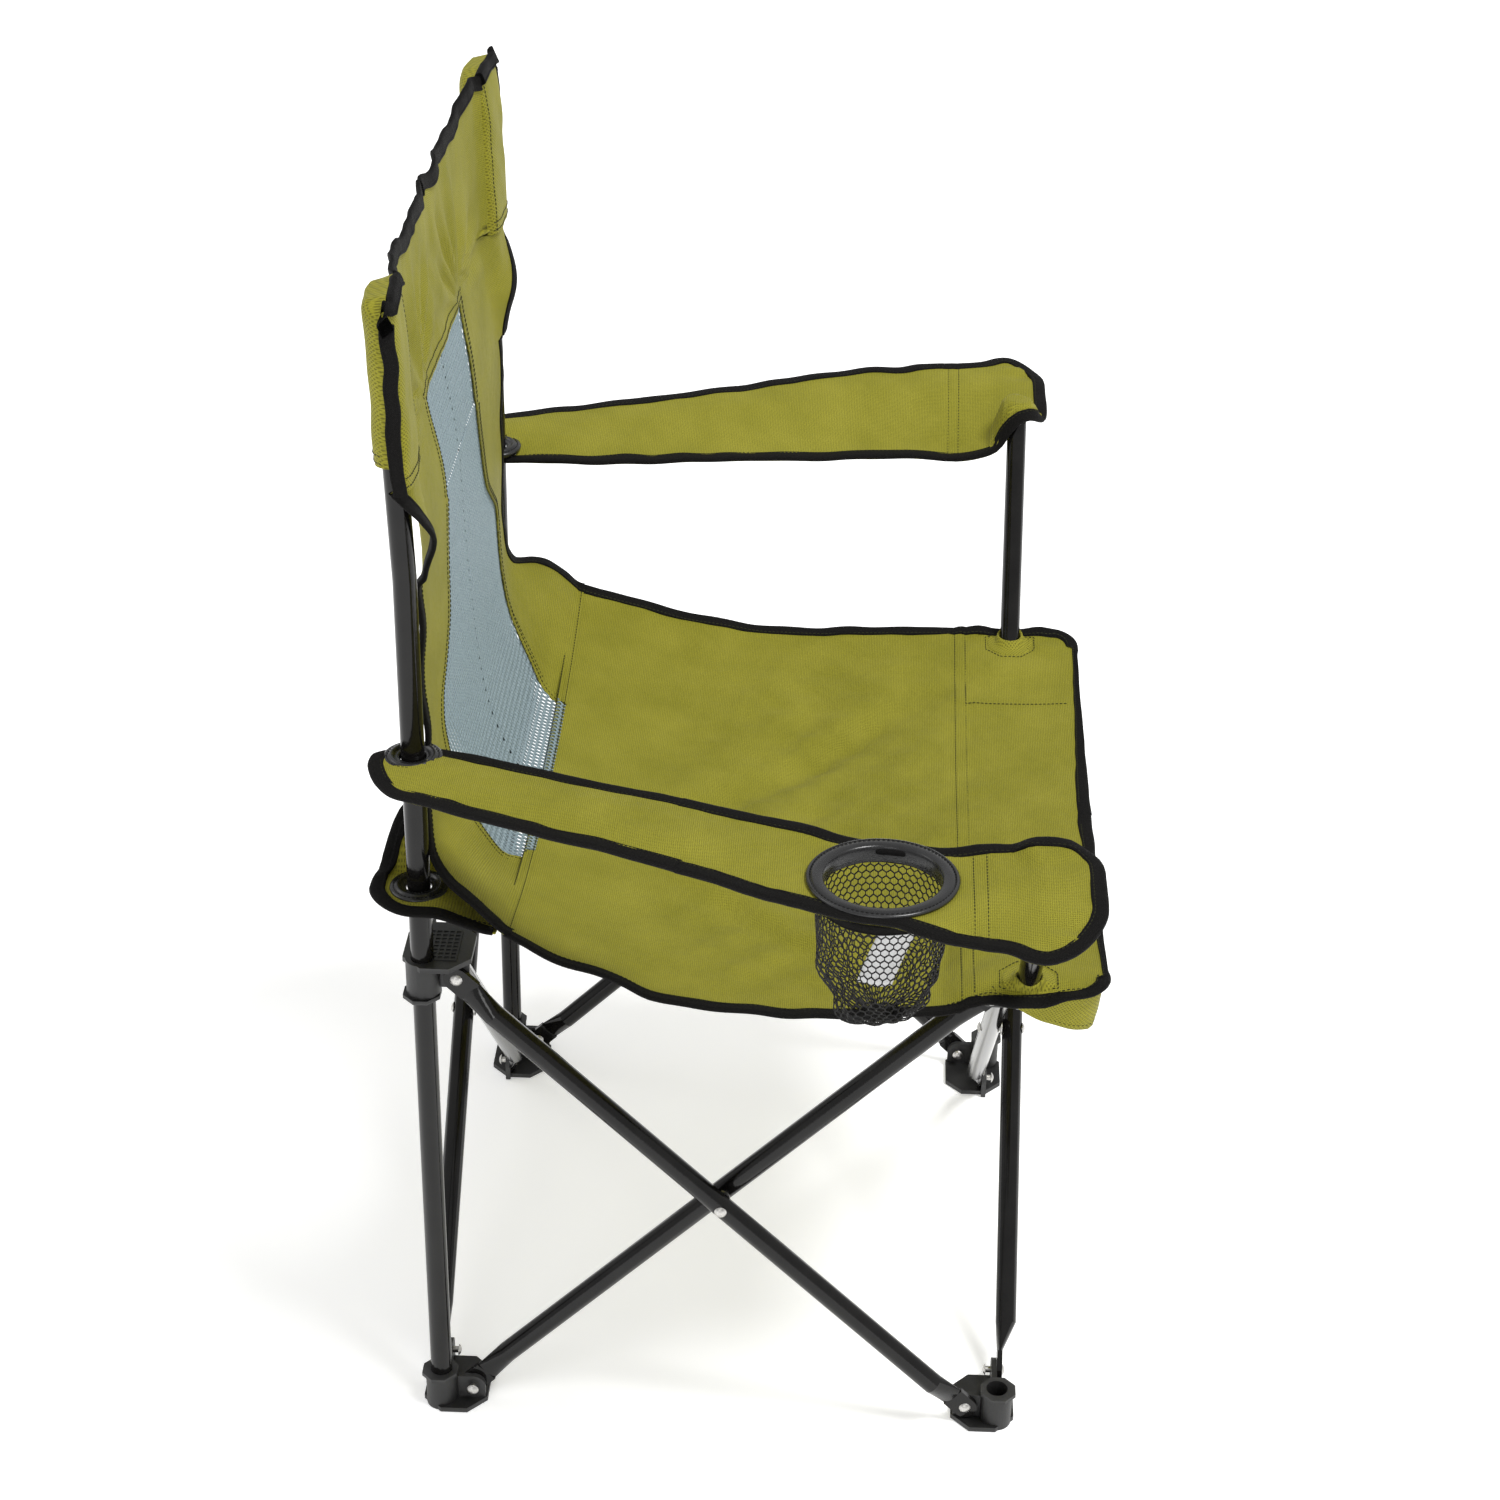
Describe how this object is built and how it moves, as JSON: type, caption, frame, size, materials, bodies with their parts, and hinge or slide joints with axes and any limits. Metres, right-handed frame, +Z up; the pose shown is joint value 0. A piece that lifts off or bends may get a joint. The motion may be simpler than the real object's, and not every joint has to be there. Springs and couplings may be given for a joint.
{
  "type": "folding camp chair",
  "caption": "Folding quad camp chair: crossed-strut frame on fixed feet, sling seat and back, soft armrests, cup holder.",
  "frame": {"origin": "the middle of the chair's bounding box, on the floor", "axes": "+Z up; the sitter faces -Y; +X is the sitter's left; the cup holder is on the sitter's right (-X)"},
  "size_m": [0.924, 0.502, 0.9018],
  "materials": {
    "olive_cloth": "matte woven polyester",
    "back_mesh": "open mesh",
    "black_net": "open net",
    "black_tube": "gloss black powder coat",
    "hub_plastic": "moulded, matte",
    "cap_plastic": "moulded",
    "ring_plastic": "moulded",
    "rivet": "bright domed heads"
  },
  "bodies": {
    "rear_right_leg": {"foot_rear_right": "hub_plastic", "foot_rivets_rear_right": "rivet", "back_pole_right": "black_tube", "pole_cap_right": "cap_plastic", "back_pocket_right": "olive_cloth"},
    "rear_left_leg": {"foot_rear_left": "hub_plastic", "foot_rivets_rear_left": "rivet", "back_pole_left": "black_tube", "pole_cap_left": "cap_plastic", "back_pocket_left": "olive_cloth"},
    "front_right_foot": {"foot_front_right": "hub_plastic", "foot_rivets_front_right": "rivet"},
    "front_left_foot": {"foot_front_left": "hub_plastic", "foot_rivets_front_left": "rivet"},
    "rear_right_hub": {"slider_hub_rear_right": "hub_plastic", "hub_rivets_rear_right": "rivet", "seat_grommet_rear_right": "ring_plastic", "arm_grommet_right": "ring_plastic"},
    "rear_left_hub": {"slider_hub_rear_left": "hub_plastic", "hub_rivets_rear_left": "rivet", "seat_grommet_rear_left": "ring_plastic", "arm_grommet_left": "ring_plastic"},
    "front_right_hub": {"fork_hub_front_right": "hub_plastic", "hub_rivets_front_right": "rivet"},
    "front_left_hub": {"fork_hub_front_left": "hub_plastic", "hub_rivets_front_left": "rivet"},
    "right_post": {"arm_post_right": "black_tube", "post_cap_right": "cap_plastic", "seat_post_patch_right": "olive_cloth"},
    "left_post": {"arm_post_left": "black_tube", "post_cap_left": "cap_plastic", "seat_post_patch_left": "olive_cloth"},
    "right_inner_strut": {"strut_right_inner": "black_tube", "crossing_rivet_right": "rivet"},
    "right_outer_strut": {"strut_right_outer": "black_tube"},
    "left_inner_strut": {"strut_left_inner": "black_tube", "crossing_rivet_left": "rivet"},
    "left_outer_strut": {"strut_left_outer": "black_tube"},
    "front_inner_strut": {"strut_front_inner": "black_tube", "crossing_rivet_front": "rivet"},
    "front_outer_strut": {"strut_front_outer": "black_tube"},
    "rear_inner_strut": {"strut_rear_inner": "black_tube", "crossing_rivet_rear": "rivet"},
    "rear_outer_strut": {"strut_rear_outer": "black_tube"},
    "seat_right_half": {"seat_right": "olive_cloth"},
    "seat_left_half": {"seat_left": "olive_cloth"},
    "back_right_half": {"backrest_cloth_right": "olive_cloth", "backrest_mesh_right": "back_mesh"},
    "back_left_half": {"backrest_cloth_left": "olive_cloth", "backrest_mesh_left": "back_mesh"},
    "armrest_right_front_half": {"armrest_front_right": "olive_cloth", "cup_ring": "ring_plastic", "cup_net": "black_net"},
    "armrest_right_rear_half": {"armrest_rear_right": "olive_cloth"},
    "armrest_left_front_half": {"armrest_front_left": "olive_cloth"},
    "armrest_left_rear_half": {"armrest_rear_left": "olive_cloth"}
  },
  "joints": [
    {"name": "fold", "type": "hinge", "parent": "rear_right_leg", "child": "right_inner_strut", "pos_m": [-0.224, 0.20499, 0.015], "axis": [-1, 0, 0], "range_deg": [0, 40]},
    {"name": "rear_outer_tilt", "type": "hinge", "parent": "rear_right_leg", "child": "rear_outer_strut", "pos_m": [-0.1865, 0.22749, 0.015], "axis": [0, -1, 0], "range_deg": [0, 40]},
    {"name": "right_crossing", "type": "hinge", "parent": "right_inner_strut", "child": "right_outer_strut", "pos_m": [-0.224, 0.01849, 0.203], "axis": [1, 0, 0], "range_deg": [0, 80]},
    {"name": "front_right_hub_level", "type": "hinge", "parent": "right_inner_strut", "child": "front_right_hub", "pos_m": [-0.224, -0.16801, 0.391], "axis": [1, 0, 0], "range_deg": [0, 40]},
    {"name": "front_right_foot_level", "type": "hinge", "parent": "right_outer_strut", "child": "front_right_foot", "pos_m": [-0.224, -0.16801, 0.015], "axis": [-1, 0, 0], "range_deg": [0, 40]},
    {"name": "rear_right_hub_level", "type": "hinge", "parent": "right_outer_strut", "child": "rear_right_hub", "pos_m": [-0.224, 0.20499, 0.391], "axis": [-1, 0, 0], "range_deg": [0, 40]},
    {"name": "front_inner_tilt", "type": "hinge", "parent": "front_right_hub", "child": "front_inner_strut", "pos_m": [-0.1865, -0.19051, 0.391], "axis": [0, 1, 0], "range_deg": [0, 40]},
    {"name": "front_crossing", "type": "hinge", "parent": "front_inner_strut", "child": "front_outer_strut", "pos_m": [0, -0.19051, 0.203], "axis": [0, -1, 0], "range_deg": [0, 80]},
    {"name": "rear_crossing", "type": "hinge", "parent": "rear_outer_strut", "child": "rear_inner_strut", "pos_m": [0, 0.22749, 0.203], "axis": [0, 1, 0], "range_deg": [0, 80]},
    {"name": "rear_left_hub_level", "type": "hinge", "parent": "rear_outer_strut", "child": "rear_left_hub", "pos_m": [0.1865, 0.22749, 0.391], "axis": [0, 1, 0], "range_deg": [0, 40]},
    {"name": "rear_left_leg_level", "type": "hinge", "parent": "rear_inner_strut", "child": "rear_left_leg", "pos_m": [0.1865, 0.22749, 0.015], "axis": [0, -1, 0], "range_deg": [0, 40]},
    {"name": "left_outer_tilt", "type": "hinge", "parent": "rear_left_hub", "child": "left_outer_strut", "pos_m": [0.224, 0.20499, 0.391], "axis": [1, 0, 0], "range_deg": [0, 40]},
    {"name": "front_left_foot_level", "type": "hinge", "parent": "left_outer_strut", "child": "front_left_foot", "pos_m": [0.224, -0.16801, 0.015], "axis": [-1, 0, 0], "range_deg": [0, 40]},
    {"name": "left_crossing", "type": "hinge", "parent": "left_outer_strut", "child": "left_inner_strut", "pos_m": [0.224, 0.01849, 0.203], "axis": [-1, 0, 0], "range_deg": [0, 80]},
    {"name": "front_left_hub_level", "type": "hinge", "parent": "left_inner_strut", "child": "front_left_hub", "pos_m": [0.224, -0.16801, 0.391], "axis": [1, 0, 0], "range_deg": [0, 40]},
    {"name": "right_post_tilt", "type": "hinge", "parent": "front_right_hub", "child": "right_post", "pos_m": [-0.225, -0.19151, 0.391], "axis": [0, 1, 0], "range_deg": [0, 33]},
    {"name": "left_post_tilt", "type": "hinge", "parent": "front_left_hub", "child": "left_post", "pos_m": [0.225, -0.19151, 0.391], "axis": [0, -1, 0], "range_deg": [0, 33]},
    {"name": "seat_right_drop", "type": "hinge", "parent": "rear_right_hub", "child": "seat_right_half", "pos_m": [-0.2005, 0.01849, 0.411], "axis": [0, 1, 0], "range_deg": [0, 79.65], "deforming": ["seat_right"]},
    {"name": "seat_left_drop", "type": "hinge", "parent": "rear_left_hub", "child": "seat_left_half", "pos_m": [0.2005, 0.01849, 0.411], "axis": [0, -1, 0], "range_deg": [0, 79.65], "deforming": ["seat_left"]},
    {"name": "back_right_fold", "type": "hinge", "parent": "rear_right_leg", "child": "back_right_half", "pos_m": [-0.225, 0.22849, 0.7], "axis": [0, 0, 1], "range_deg": [0, 74.4], "deforming": ["backrest_cloth_right", "backrest_mesh_right"]},
    {"name": "back_left_fold", "type": "hinge", "parent": "rear_left_leg", "child": "back_left_half", "pos_m": [0.225, 0.22849, 0.7], "axis": [0, 0, -1], "range_deg": [0, 74.4], "deforming": ["backrest_cloth_left", "backrest_mesh_left"]},
    {"name": "armrest_right_front_fold", "type": "hinge", "parent": "right_post", "child": "armrest_right_front_half", "pos_m": [-0.35034, -0.19151, 0.588], "axis": [-0.9742, -0.1968, -0.1105], "range_deg": [0, 81.49], "deforming": ["armrest_front_right", "cup_net"]},
    {"name": "armrest_right_rear_fold", "type": "hinge", "parent": "rear_right_hub", "child": "armrest_right_rear_half", "pos_m": [-0.225, 0.22849, 0.567], "axis": [0.9729, -0.1421, 0.1824], "range_deg": [0, 77.36], "deforming": ["armrest_rear_right"]},
    {"name": "armrest_left_front_fold", "type": "hinge", "parent": "left_post", "child": "armrest_left_front_half", "pos_m": [0.35034, -0.19151, 0.588], "axis": [-0.9742, 0.1968, 0.1105], "range_deg": [0, 81.49], "deforming": ["armrest_front_left"]},
    {"name": "armrest_left_rear_fold", "type": "hinge", "parent": "rear_left_hub", "child": "armrest_left_rear_half", "pos_m": [0.225, 0.22849, 0.567], "axis": [0.9729, 0.1421, -0.1824], "range_deg": [0, 77.36], "deforming": ["armrest_rear_left"]}
  ],
  "couplings": [
    {"joint": "rear_outer_tilt", "follows": "fold", "ratio": 1},
    {"joint": "right_crossing", "follows": "fold", "ratio": 2},
    {"joint": "front_right_hub_level", "follows": "fold", "ratio": 1},
    {"joint": "front_right_foot_level", "follows": "fold", "ratio": 1},
    {"joint": "rear_right_hub_level", "follows": "fold", "ratio": 1},
    {"joint": "front_inner_tilt", "follows": "fold", "ratio": 1},
    {"joint": "front_crossing", "follows": "fold", "ratio": 2},
    {"joint": "rear_crossing", "follows": "fold", "ratio": 2},
    {"joint": "rear_left_hub_level", "follows": "fold", "ratio": 1},
    {"joint": "rear_left_leg_level", "follows": "fold", "ratio": 1},
    {"joint": "left_outer_tilt", "follows": "fold", "ratio": 1},
    {"joint": "front_left_foot_level", "follows": "fold", "ratio": 1},
    {"joint": "left_crossing", "follows": "fold", "ratio": 2},
    {"joint": "front_left_hub_level", "follows": "fold", "ratio": 1},
    {"joint": "right_post_tilt", "follows": "fold", "ratio": 0.825},
    {"joint": "left_post_tilt", "follows": "fold", "ratio": 0.825},
    {"joint": "seat_right_drop", "follows": "fold", "ratio": 1.9912},
    {"joint": "seat_left_drop", "follows": "fold", "ratio": 1.9912},
    {"joint": "back_right_fold", "follows": "fold", "ratio": 1.8599},
    {"joint": "back_left_fold", "follows": "fold", "ratio": 1.8599},
    {"joint": "armrest_right_front_fold", "follows": "fold", "ratio": 2.0372},
    {"joint": "armrest_right_rear_fold", "follows": "fold", "ratio": 1.9339},
    {"joint": "armrest_left_front_fold", "follows": "fold", "ratio": 2.0372},
    {"joint": "armrest_left_rear_fold", "follows": "fold", "ratio": 1.9339}
  ]
}
